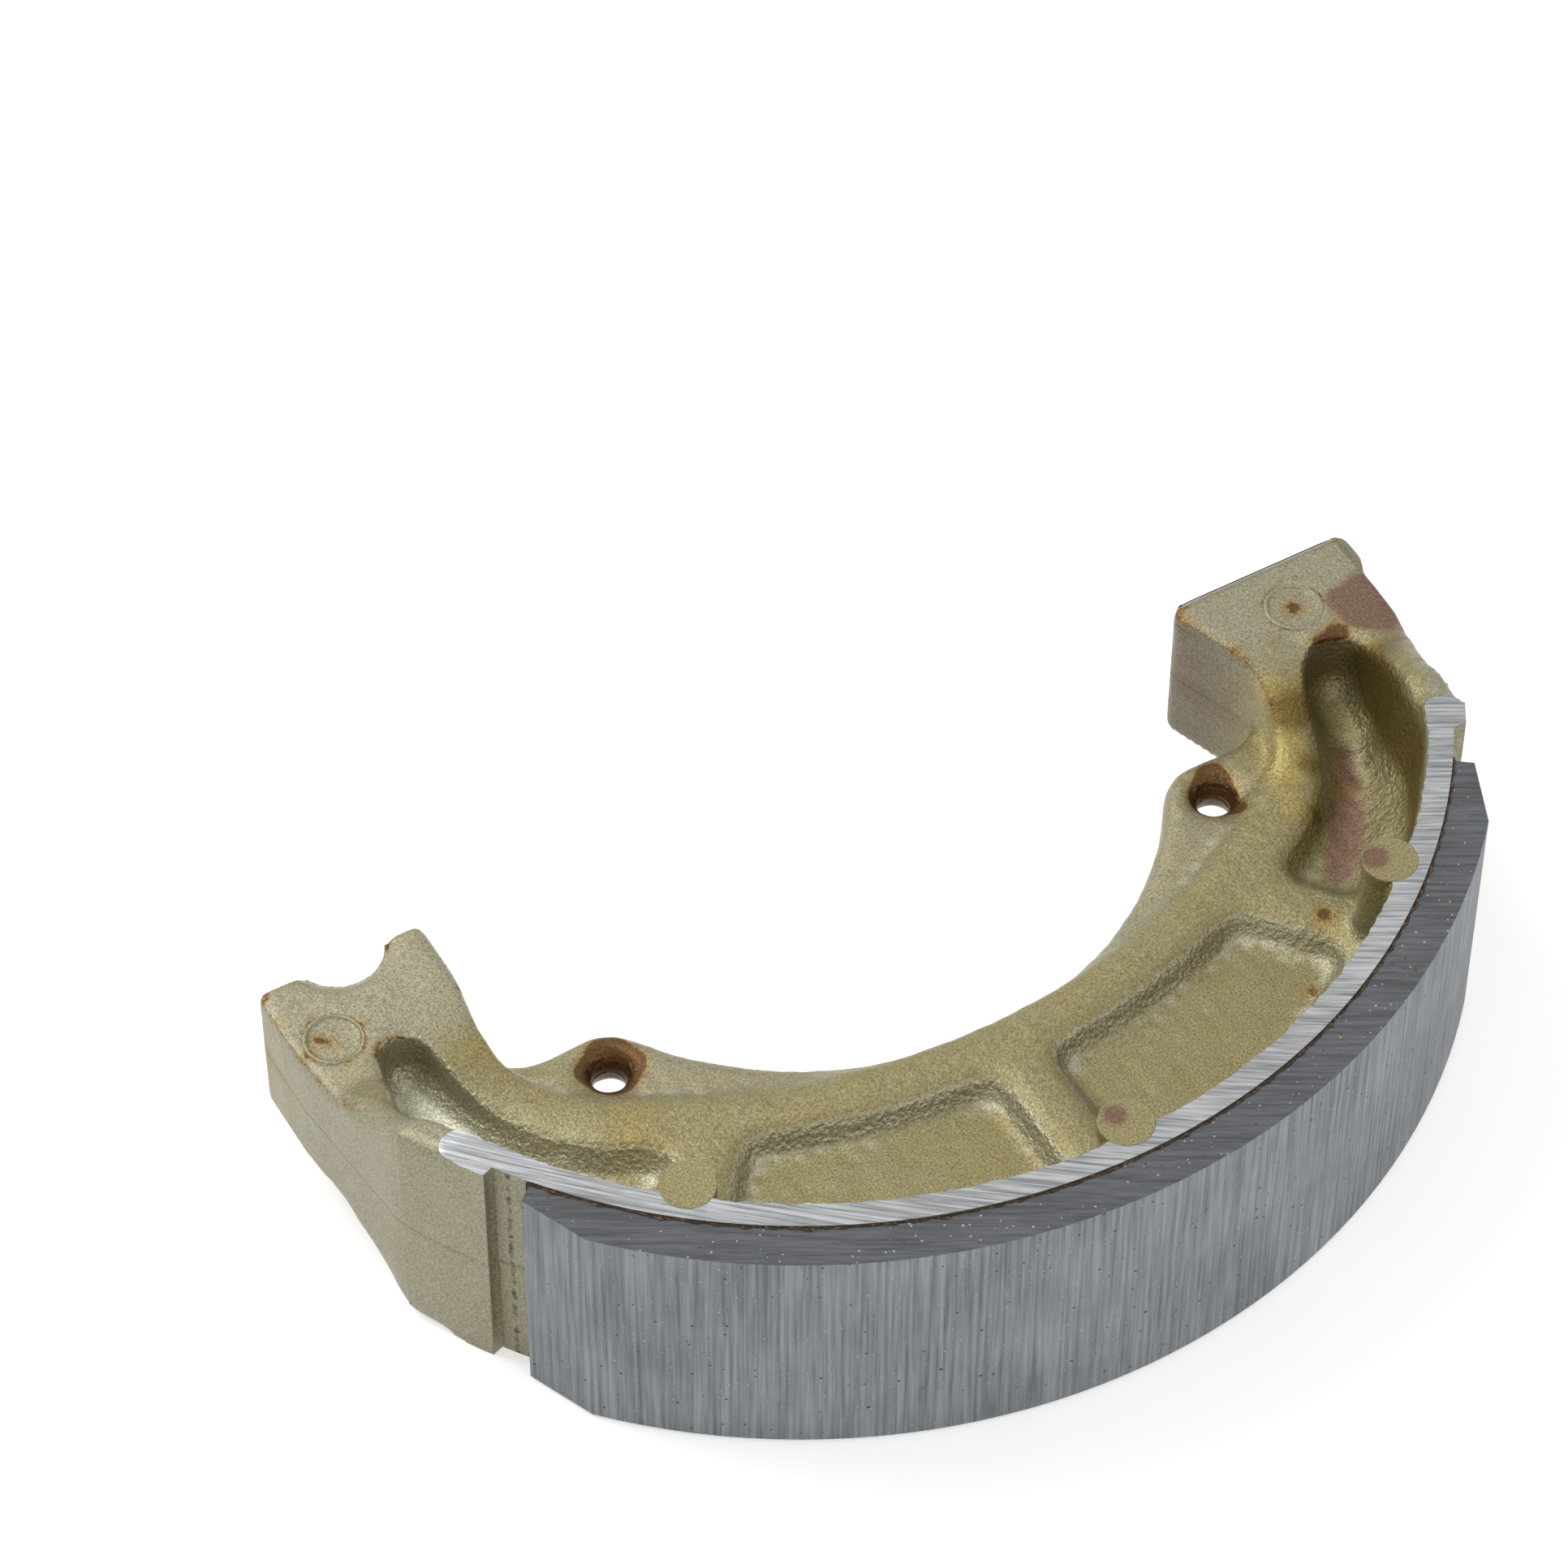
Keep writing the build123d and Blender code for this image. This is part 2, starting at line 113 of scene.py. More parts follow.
# Casting: die cast aluminium, olive gold from its conversion coat. The CAD body is remeshed,
# its as-cast forms are relaxed, and the edges of the rim are then milled flat.
casting = {
    "voxelMm": 0.42,
    "stockMm": 0.8,         # left on the rim's edges, and cut off after the relaxing
    "milledHalf": 18.84,
    "passes": 34,
    "pull": 0.5,
    "meltPasses": 170,
    "triangles": 186000,
    "crease": 0.75,         # radians
    "grainMm": 0.3,         # the real grain is too fine for the picture, so it is drawn coarser
    "grainBump": 0.14,
    "wrinkleMm": 0.65,
    "wrinkleShare": 2.5,    # times the height of the grain
    "olive": "#8a8668",
    "gold": "#8f8150",
    "khaki": "#948f78",
    # paintedGlint: a pale colour painted in as reflection, in inside corners, the trough and on pale walls
    "paintedGlint": "#c4c2ae",
    # goldAndSheen: the golden coat, painted paler as a highlight on the cam block's shoulder and a few crests
    "goldAndSheen": "#a8975a",
    # paintedShade: a dull dark colour painted as shade on the cam block's inner side and the border of its top
    "paintedShade": "#6f6553",
    "bronze": "#6a5722",
    "ochre": "#87692b",
    "rust": "#513010",
    "mauve": "#6f5044",
    "soot": "#3a3935",
    "sootLine": (-1.25, -48.4),     # x and y of the smudges, which run along Z
    "milled": "#a9abad",
    "plug": {"x": -2.1, "y": -21.4, "radius": 3.9, "height": 3.6, "sides": 32},
    "block": {"left": 120.9, "right": 148.9, "front": -4.6},    # sides of the cam block's top
    "blockLow": (118, -15, 10.6),   # the top is past these x, y and z
    "borderMm": 2.3,
    "borderSlope": 0.34,
    "forkMark": (-7.3, -13.3),
    "camMark": (135.5, -13.9),
    "markDepth": 0.7,
    "markEdge": (3.2, 3.7),         # radii between which the skin drops under a disc
    "endsAbove": 9.5,               # the tops of the fork and the cam block lie above this half height
    "flatHalf": 10.9,               # the flat milled under the cam block
    "flatFrom": (115, -15.6),       # x and y past which it lies
    "endsY": (-24, -17),            # the two ends are relaxed less, from the first to the second y
    "endsLoss": 0.55,
    "bondRadii": (82.5, 83.6),      # the bonded skin of the rim is hardly relaxed
    "bondLoss": 0.75,
    "bondBelow": -44,
    "snapMm": 0.4,
    "turnedBelow": -36,             # the rim is turned below this y, all round on its middle strip,
    "turnedHalf": 17,               # which has this half width, and near its edges only
    "turnedAngle": 59.5,            # up to this angle from the middle of the shoe
    "wallY": (-45, -41, -38.5, -34.5, -30, -26, -23),
    "wallInward": (0, 0.8, 2.1, 3.3, 2.0, 0.6, 0),
    "wallX": (64.5, 69),            # from the drum axis: the floor of the pocket, up to its wall
    "wallRadii": (80.8, 85),
    "waves": ((0.08, 2.2, 5), (0.1, 6.0, 6)),       # height and length in millimetres, and the seed
    "wavesEndsY": (-30, -20),       # they are lower on the two ends
    "wavesEndsLoss": 0.7,
    "wavesWithin": 83.4,            # and stop short of the bonded rim
    "ragged": (0.22, 1.5, 7),       # waves of the same kind along the milled edges
    "raggedHalf": (17, 18.5),
    "noise": {"mottle": 0.16, "blotch": 0.55, "fray": 1.7, "smudge": 0.7},      # cells a millimetre
    "toolMiddle": (302.9, 246.0),   # the cutter's path is one wide arc about this point
    "toolLines": 2.6,               # a millimetre across the arc: fewer and coarser than the real ones
    "toolAlong": 30.0,              # a radian along it
}
drumX = 67.9
rimOuter = 84.4
padOuter = 86.0
pinRadius = 6

# stains, and spots of painted sheen on the golden coat, as x, y, z, radius and strength, in millimetres; a strength
# over 1 widens the full part of a spot
stainAndSheenSpots = {
    "amber": [
        (138.4, -20.5, 12.2, 2.4, 1.0), (134.8, -20.8, 12.2, 2.0, 0.9), (141.0, -26.0, 13.2, 1.8, 0.8),
        (140.6, -33.0, 15.8, 2.0, 0.7), (124.5, -16.3, 12.2, 2.2, 0.8), (130.0, -17.8, 12.2, 2.2, 0.7),
        (138.7, -7.0, 12.2, 0.9, 0.8), (138.9, -9.6, 12.2, 0.9, 0.8), (136.4, -9.2, 12.2, 0.8, 0.8),
        (113.7, -55.5, 5.3, 2.6, 0.9), (-12.0, -7.6, 10.3, 2.4, 0.7), (-11.6, -14.3, 10.3, 2.4, 0.7),
        (-2.7, -13.0, 10.3, 1.6, 0.7), (-7.6, -17.4, 10.3, 1.8, 0.7), (5.8, -2.7, 8.0, 2.2, 1.4),
        (22.6, -29.8, 0.6, 4.6, 1.9), (22.9, -32.4, 3.0, 2.0, 1.0), (26.2, -30.6, 4.2, 1.8, 0.9),
        (113.2, -29.8, 0.6, 4.2, 1.8), (24.4, -27.0, 3.6, 2.4, 1.0), (20.0, -29.0, 3.6, 1.4, 0.9),
        (115.0, -26.6, 3.6, 2.2, 0.9), (115.0, -34.2, 3.6, 1.8, 0.7), (18.2, -44.3, 5.3, 2.2, 0.8),
        (9.0, -27.0, 5.6, 1.8, 0.7), (11.5, -31.0, 5.4, 1.6, 0.6), (129.0, -37.0, 3.0, 2.4, 0.8),
        (131.5, -31.0, 3.0, 2.0, 0.6), (75.0, -76.0, 5.3, 2.6, 1.2), (77.0, -75.0, 1.0, 2.4, 0.9),
        (139.6, -16.8, 12.2, 1.6, 0.7), (0.1, -49.9, 4.2, 0.9, 1.4), (120.0, -40.0, 5.3, 2.6, 0.6),
        (121.8, -34.0, 5.6, 2.4, 0.6), (107.0, -63.5, 2.0, 3.0, 0.8),
    ],
    "mauve": [
        (141.0, -15.6, 12.2, 2.2, 0.8), (145.6, -15.8, 12.2, 3.2, 1.2), (144.6, -20.6, 12.2, 3.2, 1.2),
        (141.4, -19.2, 12.2, 2.2, 0.8), (144.0, -26.5, 14.0, 2.8, 0.6), (142.6, -33.6, 16.6, 3.0, 0.4),
        (132.4, -31.5, 1.8, 2.6, 0.7), (130.2, -36.0, 1.8, 3.0, 0.8), (127.0, -40.9, 1.8, 3.4, 0.9),
        (123.8, -45.0, 1.8, 3.4, 0.8), (120.6, -48.8, 1.8, 3.2, 0.7), (117.4, -59.6, 18.9, 2.2, 1.1),
        (121.0, -10.7, 0.0, 3.0, 0.6), (122.0, -9.9, 6.0, 2.4, 0.6), (120.8, -12.0, -6.0, 2.4, 0.5),
        (67.2, -77.9, 18.9, 2.0, 1.0), (72.6, -72.0, 5.0, 2.8, 1.3), (25.6, -32.6, 3.6, 2.0, 0.7),
        (112.4, -34.4, 3.6, 2.2, 0.6), (130.8, -17.0, 12.2, 1.4, 0.7),
    ],
    "gold": [
        (124.6, -22.9, 9.5, 4.5, 1.2), (122.6, -31.0, 6.5, 4.5, 0.9), (121.6, -38.5, 5.3, 3.6, 0.7),
        (8.5, -22.4, 7.2, 4.0, 0.7), (22.0, -38.0, 5.3, 5.5, 0.6), (18.0, -45.0, 4.5, 4.5, 0.8),
        (40.0, -50.5, 5.3, 5.0, 0.5), (112.6, -57.0, 3.0, 4.0, 0.7), (70.0, -55.0, 5.3, 5.0, 0.4),
        (133.0, -24.0, 8.0, 5.0, 0.8), (76.0, -74.0, 3.5, 4.0, 0.8), (118.0, -19.0, 4.0, 3.0, 0.8),
    ],
    # golden coat with a painted highlight: paler on the cam block's shoulder and a few crests
    "goldAndSheen": [
        (124.4, -23.4, 9.5, 4.4, 1.0), (123.4, -27.5, 8.0, 4.4, 1.0), (122.6, -32.0, 6.5, 4.4, 0.9),
        (132.2, -23.6, 10.5, 2.4, 0.8), (119.6, -38.6, 5.3, 2.6, 0.7), (139.9, -24.8, 13.0, 2.0, 0.8),
        (141.2, -31.0, 15.2, 2.0, 0.6), (46.0, -53.5, 5.3, 3.0, 0.5),
    ],
    "bronze": [
        (139.4, -27.0, 9.0, 5.0, 1.2), (139.0, -33.0, 10.0, 5.0, 1.4), (137.2, -39.0, 11.0, 5.0, 1.4),
        (134.0, -45.0, 11.0, 4.5, 1.2), (127.6, -25.5, 7.0, 4.0, 1.0), (125.6, -33.0, 4.4, 2.4, 0.9),
        (122.8, -40.5, 4.4, 2.4, 0.8), (118.2, -46.5, 4.4, 2.4, 0.6), (130.0, -52.0, 10.0, 4.0, 0.8),
        (-2.0, -22.5, 7.0, 2.4, 0.5),
    ],
}
# places where the relaxing goes on, so that ledges and small steps melt away:
# x, y, distance from the middle plane, radius and strength
meltSpots = [
    (-5.6, -30.4, 13.0, 4.4, 1.4), (-5.4, -32.0, 8.0, 4.4, 1.2), (-2.5, -37.0, 6.0, 4.5, 0.8),
    (138.5, -36.0, 6.0, 7.0, 1.2), (133.5, -44.0, 5.0, 7.0, 1.0), (128.0, -50.0, 5.0, 6.0, 0.8),
    (139.0, -29.0, 6.0, 5.0, 0.9),
]


# vertex places in millimetres, one row each
def readPoints(mesh):
    flat = np.empty(3 * len(mesh.vertices), np.float32)
    mesh.vertices.foreach_get("co", flat)
    return flat.reshape(-1, 3).astype(float) * 1000


# unit normals at the vertices, one row each
def readNormals(mesh):
    flat = np.empty(3 * len(mesh.vertices), np.float32)
    mesh.vertex_normals.foreach_get("vector", flat)
    return flat.reshape(-1, 3)


# places in millimetres, divided by 1000, back into the mesh
def writePoints(mesh, points):
    mesh.vertices.foreach_set("co", (points / 1000).astype(np.float32).ravel())
    mesh.update()


# the numbers of each edge's two vertices, one row each
def readEdges(mesh):
    flat = np.empty(2 * len(mesh.edges), np.int32)
    mesh.edges.foreach_get("vertices", flat)
    return flat.reshape(-1, 2)


# the mesh as one modifier leaves it
def modified(mesh, kind, **settings):
    piece = bpy.data.objects.new("work", mesh)
    bpy.context.scene.collection.objects.link(piece)
    modifier = piece.modifiers.new("work", kind)
    for name, value in settings.items():
        setattr(modifier, name, value)
    graph = bpy.context.evaluated_depsgraph_get()
    result = bpy.data.meshes.new_from_object(piece.evaluated_get(graph))
    bpy.data.objects.remove(piece)
    return result


# mean of the neighbours: the values summed over each vertex's edges, divided by their number
def neighbourMean(values, edges):
    count = len(values)
    first, second = edges[:, 0], edges[:, 1]
    number = np.bincount(edges.ravel(), minlength=count)
    columns = [np.bincount(first, v[second], count) + np.bincount(second, v[first], count) for v in values.T]
    return np.stack(columns, axis=1) / number[:, None]


# 0 up to the first value, 1 from the second on, straight between them
def ramp(values, low, high):
    return np.clip((values - low) / (high - low), 0, 1)


# mean of eight plane waves in seeded directions, each cos(k . p + phase), so it wanders about zero
def wander(points, wavelength, seed):
    dice = np.random.default_rng(seed)
    waves = dice.normal(size=(8, 3))
    waves *= 2 * np.pi / wavelength / np.linalg.norm(waves, axis=1)[:, None]
    return np.cos(points @ waves.T + dice.uniform(0, 2 * np.pi, 8)).mean(axis=1)


# each spot adds its strength times a bell of the distance, exp(-(d / radius)^2)
def spots(points, places):
    total = np.zeros(len(points))
    for x, y, z, radius, strength in places:
        square = (points[:, 0] - x) ** 2 + (points[:, 1] - y) ** 2 + (points[:, 2] - z) ** 2
        total += strength * np.exp(-square / radius ** 2)
    return np.clip(total, 0, 1)


# one number for each vertex, or for each face, which a material reads by name
def setAttribute(mesh, name, values, domain="POINT"):
    layer = mesh.attributes.new(name, "FLOAT", domain)
    layer.data.foreach_set("value", values.astype(np.float32))


# one attribute per kind of stain, and one for the golden coat's painted sheen; amber comes along sharp edges too
def stainAndSheen(mesh, points, amberEdges):
    for name, places in stainAndSheenSpots.items():
        values = spots(points, places)
        setAttribute(mesh, name, np.maximum(values, amberEdges) if name == "amber" else values)


# how far a place takes part in the relaxing: 1, less the loss on the two ends, times 1 less the loss at the bond
def softness(points):
    fromDrum = np.hypot(points[:, 0] - drumX, points[:, 1])
    soft = 1 - casting["endsLoss"] * ramp(points[:, 1], *casting["endsY"])
    soft *= 1 - casting["bondLoss"] * ramp(fromDrum, *casting["bondRadii"]) * (points[:, 1] < casting["bondBelow"])
    return soft[:, None]


# where the flat under the cam block lies: past one x and one y
def onFlat(x, y):
    return (x > casting["flatFrom"][0]) & (y > casting["flatFrom"][1])


# turned or milled faces go back on their exact radius or height: places near one are scaled by radius / distance
def snapFaces(points):
    x, y, z = points.T
    fromDrum = np.hypot(x - drumX, y)
    fromMiddle = np.abs(np.degrees(np.arctan2(y, x - drumX)) + 90)
    onStrip = (fromMiddle < casting["turnedAngle"]) | (np.abs(z) < casting["turnedHalf"])
    for radius in (rimOuter, padOuter):
        near = (np.abs(fromDrum - radius) < casting["snapMm"]) & (y < casting["turnedBelow"]) & onStrip
        scale = np.where(near, radius / fromDrum, 1)
        x, y = drumX + (x - drumX) * scale, y * scale
    fromPin = np.hypot(x, y)
    scale = np.where(np.abs(fromPin - pinRadius) < casting["snapMm"], pinRadius / fromPin, 1)
    under = (np.abs(z + casting["flatHalf"]) < 0.35) & onFlat(x, y)
    return np.stack([x * scale, y * scale, np.where(under, -casting["flatHalf"], z)], axis=1)


# the pocket at the cam end is narrower towards its ramp, by up to 3.3 mm: its outer wall moves in along X,
# all of it at the wall, and less and less out to the pad and in over the pocket's floor
def moveWall(points):
    x, y = points[:, 0] - drumX, points[:, 1]
    inward = np.interp(y, casting["wallY"], casting["wallInward"])
    inward *= ramp(x, *casting["wallX"]) * (1 - ramp(np.hypot(x, y), *casting["wallRadii"]))
    return points - np.stack([inward, 0 * inward, 0 * inward], axis=1)


# under the ejector discs of the two ends the skin lies deeper: in full inside a disc, and less over its edge
def sinkMarks(points):
    for x, y in (casting["forkMark"], casting["camMark"]):
        apart = np.hypot(points[:, 0] - x, points[:, 1] - y)
        inside = 1 - ramp(apart, *casting["markEdge"])
        onEnds = np.abs(points[:, 2]) > casting["endsAbove"]
        points[:, 2] -= casting["markDepth"] * np.sign(points[:, 2]) * inside * onEnds
    return points


# how far inside the top of the cam block: the least of the distances to three of its sides
def insideBlock(x, y):
    block = casting["block"]
    return np.minimum(np.minimum(block["front"] - y, x - block["left"]), block["right"] - x)


# the top of the cam block falls away towards its outline: the slope times the way still to go to the border
def bevelBlock(points):
    x, y, z = points.T
    border = casting["borderMm"]
    lowX, lowY, lowZ = casting["blockLow"]
    onTop = (z > lowZ) & (x > lowX) & (y > lowY)
    fall = casting["borderSlope"] * np.clip(border - insideBlock(x, y), 0, border)
    z -= fall * onTop * (1 - ramp(-y, 13, 15))
    return points


# the steps of the skin, one after the other: stock, remesh, relax, melt, snap, wave, thin out, cut
def makeCastingMesh():
    source = nodes["shoe_casting"].data.copy()
    shape = bmesh.new()
    shape.from_mesh(source)
    bmesh.ops.remove_doubles(shape, verts=shape.verts, dist=1e-6)
    # the CAD body has a narrow gap through the floor of the pocket at the anchor end: a round plug closes it
    plug = casting["plug"]
    at = Matrix.Translation((plug["x"] / 1000, plug["y"] / 1000, 0))
    size = {"radius1": plug["radius"] / 1000, "radius2": plug["radius"] / 1000, "depth": plug["height"] / 1000}
    bmesh.ops.create_cone(shape, cap_ends=True, segments=plug["sides"], matrix=at, **size)
    shape.to_mesh(source)
    shape.free()
    points = readPoints(source)
    points[:, 2] += np.sign(points[:, 2]) * casting["stockMm"] * (np.abs(points[:, 2]) > casting["milledHalf"])
    writePoints(source, points)
    skin = modified(source, "REMESH", mode="VOXEL", voxel_size=casting["voxelMm"] / 1000)
    points, edges = moveWall(readPoints(skin)), readEdges(skin)
    soft = casting["pull"] * softness(points)
    # relaxing: each place moves part of the way to the mean of its neighbours
    for _ in range(casting["passes"]):
        points += soft * (neighbourMean(points, edges) - points)
    folded = np.concatenate([points[:, :2], np.abs(points[:, 2:])], axis=1)
    melt = casting["pull"] * spots(folded, meltSpots)[:, None]
    for _ in range(casting["meltPasses"]):
        points += melt * (neighbourMean(points, edges) - points)
    points = bevelBlock(sinkMarks(snapFaces(points)))
    # slight waves of the cast skin, a few hundredths of a millimetre, and more of them near the milled edges
    writePoints(skin, points)
    waves = sum(height * wander(points, length, seed) for height, length, seed in casting["waves"])
    waves *= 1 - casting["wavesEndsLoss"] * ramp(points[:, 1], *casting["wavesEndsY"])
    height, length, seed = casting["ragged"]
    waves += height * wander(points, length, seed) * ramp(np.abs(points[:, 2]), *casting["raggedHalf"])
    free = (np.hypot(points[:, 0] - drumX, points[:, 1]) < casting["wavesWithin"])[:, None]
    writePoints(skin, points + free * waves[:, None] * readNormals(skin))
    skin = modified(skin, "DECIMATE", ratio=casting["triangles"] / (2 * len(skin.polygons)))
    # the skin keeps to the box of the CAD body, but for the stock that the cutter takes off
    spare = (0, 0, 9)
    low, high = (np.array(corner) * 1000 for corner in cadBox)
    writePoints(skin, np.clip(readPoints(skin), low - spare, high + spare))
    # the cutter takes off all that stands above the milled height, and leaves a flat face
    shape = bmesh.new()
    shape.from_mesh(skin)
    for side in (1, -1):
        place, up = (0, 0, side * casting["milledHalf"] / 1000), (0, 0, side)
        every = shape.verts[:] + shape.edges[:] + shape.faces[:]
        cut = bmesh.ops.bisect_plane(shape, geom=every, dist=1e-7, plane_co=place, plane_no=up, clear_outer=True)
        rim = [e for e in cut["geom_cut"] if isinstance(e, bmesh.types.BMEdge)]
        bmesh.ops.triangle_fill(shape, use_beauty=True, edges=rim, normal=up)
    bmesh.ops.recalc_face_normals(shape, faces=shape.faces)
    shape.to_mesh(skin)
    shape.free()
    skin.polygons.foreach_set("use_smooth", np.ones(len(skin.polygons), bool))
    skin.set_sharp_from_angle(angle=casting["crease"])
    return skin


# how sharply a place stands out: four times its height over the neighbours' mean, along the normal,
# over the mean square of the edges, and then smoothed three times
def bulge(mesh, points):
    edges, count = readEdges(mesh), len(points)
    first, second = edges.T
    square = np.linalg.norm(points[first] - points[second], axis=1) ** 2
    spread = np.bincount(first, square, count) + np.bincount(second, square, count)
    spread /= np.bincount(edges.ravel(), minlength=count)
    offset = ((points - neighbourMean(points, edges)) * readNormals(mesh)).sum(axis=1)
    curve = (4 * offset / spread)[:, None]
    for _ in range(3):
        curve = (curve + neighbourMean(curve, edges)) / 2
    return curve[:, 0]


# half metallic and satin, so it takes the lamps as soft broad glints with the coat's colours in them
def makeCastingMaterial():
    material, tree, shader, inMm = startMaterial("chromated_die_cast_aluminium")
    scales = {**casting["noise"], "grain": 1 / casting["grainMm"], "wrinkle": 1 / casting["wrinkleMm"]}
    details = {"grain": (3.0, 0.65), "mottle": (5.0, 0.65), "blotch": (5.0, 0.7), "fray": (4.0, 0.7),
               "smudge": (4.0, 0.8), "wrinkle": (1.5, 0.5)}
    noise = {}
    for name, (detail, rough) in details.items():
        sockets = {"Vector": inMm, "Scale": scales[name], "Detail": detail, "Roughness": rough}
        noise[name] = addNode(tree, "TexNoise", sockets).outputs[0]
    uneven = addNode(tree, "Mix", {0: 0.5, 2: noise["blotch"], 3: noise["fray"]}, data_type="FLOAT").outputs[0]
    x, y, z = addNode(tree, "SeparateXYZ", {0: inMm}).outputs

    # where an attribute and a noise together pass a step, times the attribute, up to the cover
    def patchy(name, low, high, share=1.1, cover=0.85):
        value = addNode(tree, "Attribute", attribute_name=name).outputs["Fac"]
        broken = addNode(tree, "Math", {0: uneven, 1: share, 2: -share / 2}, operation="MULTIPLY_ADD").outputs[0]
        total = addNode(tree, "Math", {0: value, 1: broken}, operation="ADD").outputs[0]
        step = addNode(tree, "MapRange", {0: total, 1: low, 2: high}, interpolation_type="SMOOTHSTEP").outputs[0]
        held = addNode(tree, "Math", {0: step, 1: value}, operation="MULTIPLY").outputs[0]
        strong = addNode(tree, "Math", {0: held, 1: 1.4}, operation="MULTIPLY", use_clamp=True).outputs[0]
        return addNode(tree, "Math", {0: strong, 1: cover}, operation="MULTIPLY").outputs[0]

    # smudges: near one line along Z, and where a noise is high
    flatPlace = addNode(tree, "CombineXYZ", {0: x, 1: y}).outputs[0]
    line = (*casting["sootLine"], 0)
    offLine = addNode(tree, "VectorMath", {0: flatPlace, 1: line}, operation="DISTANCE").outputs["Value"]
    nearLine = addNode(tree, "MapRange", {0: offLine, 1: 1.0, 2: 0.2}).outputs[0]
    smudge = addNode(tree, "Math", {0: nearLine, 1: 0.4, 2: noise["smudge"]}, operation="MULTIPLY_ADD").outputs[0]
    smudge = addNode(tree, "MapRange", {0: smudge, 1: 0.84, 2: 1.0}).outputs[0]

    # the coat is golden in the hollows, khaki on the flat ends, web and outer sides, with painted reflection paler
    # along inside corners, painted shade on the cam block's inner side and border, and painted sheen in paler gold on
    # its shoulder
    plain = {}
    for name in ("khaki", "paintedGlint", "paintedShade", "wall", "milled"):
        plain[name] = addNode(tree, "Attribute", attribute_name=name).outputs["Fac"]
    amber = patchy("amber", 0.25, 1.0, cover=0.8)
    thick = addNode(tree, "MapRange", {0: amber, 1: 0.6, 2: 0.8, 3: 0.0, 4: 0.85}).outputs[0]
    layers = (
        ("gold", noise["mottle"]),
        ("gold", patchy("gold", 0.1, 0.7)),
        ("khaki", plain["khaki"]),
        # painted reflection: the pale glint colour on inside corners, the trough and pale walls
        ("paintedGlint", plain["paintedGlint"]),
        # painted highlight: a paler gold on the cam block's shoulder
        ("goldAndSheen", patchy("goldAndSheen", 0.1, 1.0, cover=0.7)),
        # painted shade on the cam block's inner side and along the border of its top
        ("paintedShade", plain["paintedShade"]),
        ("bronze", patchy("bronze", 0.1, 0.8, 0.5)),
        ("mauve", patchy("mauve", 0.25, 0.75)),
        ("ochre", amber),
        ("rust", thick),
        ("soot", smudge),
    )
    tone = linear(casting["olive"])
    for name, share in layers:
        tone = addNode(tree, "Mix", {0: share, 6: tone, 7: linear(casting[name])}, data_type="RGBA").outputs[2]
    speckle = addNode(tree, "MapRange", {0: noise["grain"], 1: 0.3, 2: 0.7, 3: 0.52, 4: 1.48}).outputs[0]
    tone = addNode(tree, "VectorMath", {0: tone, 3: speckle}, operation="SCALE").outputs[0]

    # milled faces: bright, with fine lines along the cutter's arc
    middle = (*casting["toolMiddle"], 0)
    fromMiddle = addNode(tree, "VectorMath", {0: inMm, 1: middle}, operation="SUBTRACT").outputs[0]
    arms = addNode(tree, "SeparateXYZ", {0: fromMiddle}).outputs
    flat = addNode(tree, "CombineXYZ", {0: arms[0], 1: arms[1]}).outputs[0]
    reach = addNode(tree, "VectorMath", {0: flat}, operation="LENGTH").outputs["Value"]
    angle = addNode(tree, "Math", {0: arms[1], 1: arms[0]}, operation="ARCTAN2").outputs[0]
    across = addNode(tree, "Math", {0: reach, 1: casting["toolLines"]}, operation="MULTIPLY").outputs[0]
    along = addNode(tree, "Math", {0: angle, 1: casting["toolAlong"]}, operation="MULTIPLY").outputs[0]
    toolPlace = addNode(tree, "CombineXYZ", {0: across, 1: along, 2: z}).outputs[0]
    toolSockets = {"Vector": toolPlace, "Scale": 1.0, "Detail": 3.0, "Roughness": 0.7}
    tool = addNode(tree, "TexNoise", toolSockets).outputs[0]
    toolTone = addNode(tree, "MapRange", {0: tool, 1: 0.36, 2: 0.62, 3: 0.5, 4: 1.28}).outputs[0]
    metal = linear(casting["milled"])[:3]
    bright = addNode(tree, "VectorMath", {0: metal, 3: toolTone}, operation="SCALE").outputs[0]
    surface = addNode(tree, "Mix", {0: plain["milled"], 6: tone, 7: bright}, data_type="RGBA").outputs[2]
    tree.links.new(surface, shader.inputs["Base Color"])
    shader.inputs["Metallic"].default_value = 0.6
    # the walls, the milled faces and the thick amber coat are smoother than the rest
    rough = addNode(tree, "MapRange", {0: noise["mottle"], 1: 0.3, 2: 0.7, 3: 0.36, 4: 0.48}).outputs[0]
    rough = addNode(tree, "Math", {0: plain["wall"], 1: -0.1, 2: rough}, operation="MULTIPLY_ADD").outputs[0]
    rough = addNode(tree, "Mix", {0: plain["milled"], 2: rough, 3: 0.34}, data_type="FLOAT").outputs[0]
    rough = addNode(tree, "Mix", {0: amber, 2: rough, 3: 0.3}, data_type="FLOAT").outputs[0]
    tree.links.new(rough, shader.inputs["Roughness"])

